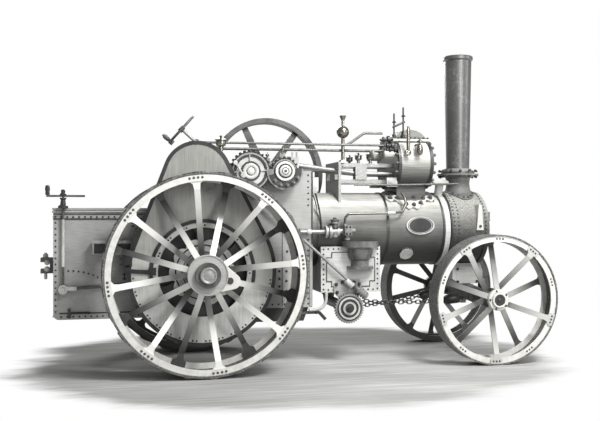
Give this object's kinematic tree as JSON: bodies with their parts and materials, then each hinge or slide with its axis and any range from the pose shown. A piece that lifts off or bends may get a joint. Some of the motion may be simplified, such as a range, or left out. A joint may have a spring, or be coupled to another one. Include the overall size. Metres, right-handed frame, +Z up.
{
  "type": "steam traction engine",
  "caption": "Steam road traction engine on spoked iron wheels, with a horizontal boiler, tall chimney, flywheel, gearing and a tender.",
  "frame": {"origin": "on the ground below the middle of the engine's length and width", "axes": "+X forward, +Y to the engine's left, +Z up"},
  "size_m": [5.71, 2.356, 3.62],
  "materials": {
    "lagging_sheet": "smooth paint over sheet lagging",
    "dark_plate": "matt heat-resisting black",
    "painted_plate": "satin paint on rolled plate",
    "smokebox_black": "matt black",
    "wheel_paint": "light satin paint",
    "cast_iron": "painted casting",
    "forged_iron": "black forged iron",
    "bright_steel": "bright turned steel",
    "spring_steel": "dull spring steel",
    "brass": "polished brass",
    "copper_pipe": "dull copper tube"
  },
  "bodies": {
    "root": {"boiler": "lagging_sheet", "firebox": "dark_plate", "hornplates": "painted_plate", "shaft_bearings": "cast_iron", "crankshaft": "bright_steel", "flywheel": "cast_iron", "second_shaft": "bright_steel", "third_shaft": "bright_steel", "main_gear": "cast_iron", "gear_cover": "painted_plate", "winding_drum": "forged_iron", "rear_axle": "bright_steel", "tender": "painted_plate", "brake_gear": "forged_iron", "drawbar": "forged_iron", "ashpan": "dark_plate", "smokebox": "smokebox_black", "lamp_brackets": "wheel_paint", "chimney_base": "smokebox_black", "chimney": "smokebox_black", "perch_bracket": "cast_iron", "belly_tank": "painted_plate", "tank_filler": "cast_iron", "feed_pump": "bright_steel", "feed_pipe": "copper_pipe", "cylinder_block": "lagging_sheet", "safety_valves": "brass", "slide_bars": "bright_steel", "crossheads": "bright_steel", "connecting_rods": "bright_steel", "oil_ball": "brass", "control_rods": "bright_steel", "steering_brackets": "forged_iron", "steering_chains": "forged_iron"},
    "fire_door": {"fire_door": "dark_plate"},
    "smokebox_door": {"smokebox_door": "smokebox_black"},
    "front_axle": {"front_axle": "forged_iron", "front_spring": "spring_steel"},
    "rear_wheel_right": {"rear_rim_right": "wheel_paint", "rear_hub_right": "wheel_paint"},
    "rear_wheel_left": {"rear_rim_left": "wheel_paint", "rear_hub_left": "wheel_paint"},
    "front_wheel_right": {"front_rim_right": "wheel_paint", "front_hub_right": "wheel_paint"},
    "front_wheel_left": {"front_rim_left": "wheel_paint", "front_hub_left": "wheel_paint"},
    "steering_roller": {"steering_roller": "forged_iron", "worm_wheel": "bright_steel"},
    "steering_column": {"steering_column": "bright_steel", "steering_wheel": "forged_iron"}
  },
  "joints": [
    {"name": "fire_door_hinge", "type": "hinge", "parent": "root", "child": "fire_door", "pos_m": [-0.919, 0.19, 1.33], "axis": [0, 0, 1], "range_deg": [-100, 0]},
    {"name": "smokebox_door_hinge", "type": "hinge", "parent": "root", "child": "smokebox_door", "pos_m": [2.3013, -0.365, 1.51], "axis": [0, 0, 1], "range_deg": [-120, 0]},
    {"name": "steering", "type": "hinge", "parent": "root", "child": "front_axle", "pos_m": [2.125, 0, 0.73], "axis": [0, 0, 1], "range_deg": [-25, 25], "deforming": ["steering_chains"]},
    {"name": "rear_wheel_right_spin", "type": "hinge", "parent": "root", "child": "rear_wheel_right", "pos_m": [-1.135, -0.9, 1.067], "axis": [0, 1, 0], "continuous": true},
    {"name": "rear_wheel_left_spin", "type": "hinge", "parent": "root", "child": "rear_wheel_left", "pos_m": [-1.135, 0.9, 1.067], "axis": [0, 1, 0], "continuous": true},
    {"name": "front_wheel_right_spin", "type": "hinge", "parent": "front_axle", "child": "front_wheel_right", "pos_m": [2.125, -0.88, 0.73], "axis": [0, 1, 0], "continuous": true},
    {"name": "front_wheel_left_spin", "type": "hinge", "parent": "front_axle", "child": "front_wheel_left", "pos_m": [2.125, 0.88, 0.73], "axis": [0, 1, 0], "continuous": true},
    {"name": "steering_roller_turn", "type": "hinge", "parent": "root", "child": "steering_roller", "pos_m": [0.531, 0, 0.624], "axis": [0, 1, 0], "range_deg": [-138.5, 138.5]},
    {"name": "steering_column_turn", "type": "hinge", "parent": "root", "child": "steering_column", "pos_m": [0.684, -0.505, 0.79573], "axis": [-0.7466, 0, 0.6652], "range_deg": [-4955, 4955]}
  ],
  "couplings": [
    {"joint": "steering_roller_turn", "follows": "steering", "ratio": 5.5},
    {"joint": "steering_column_turn", "follows": "steering", "ratio": -198}
  ]
}
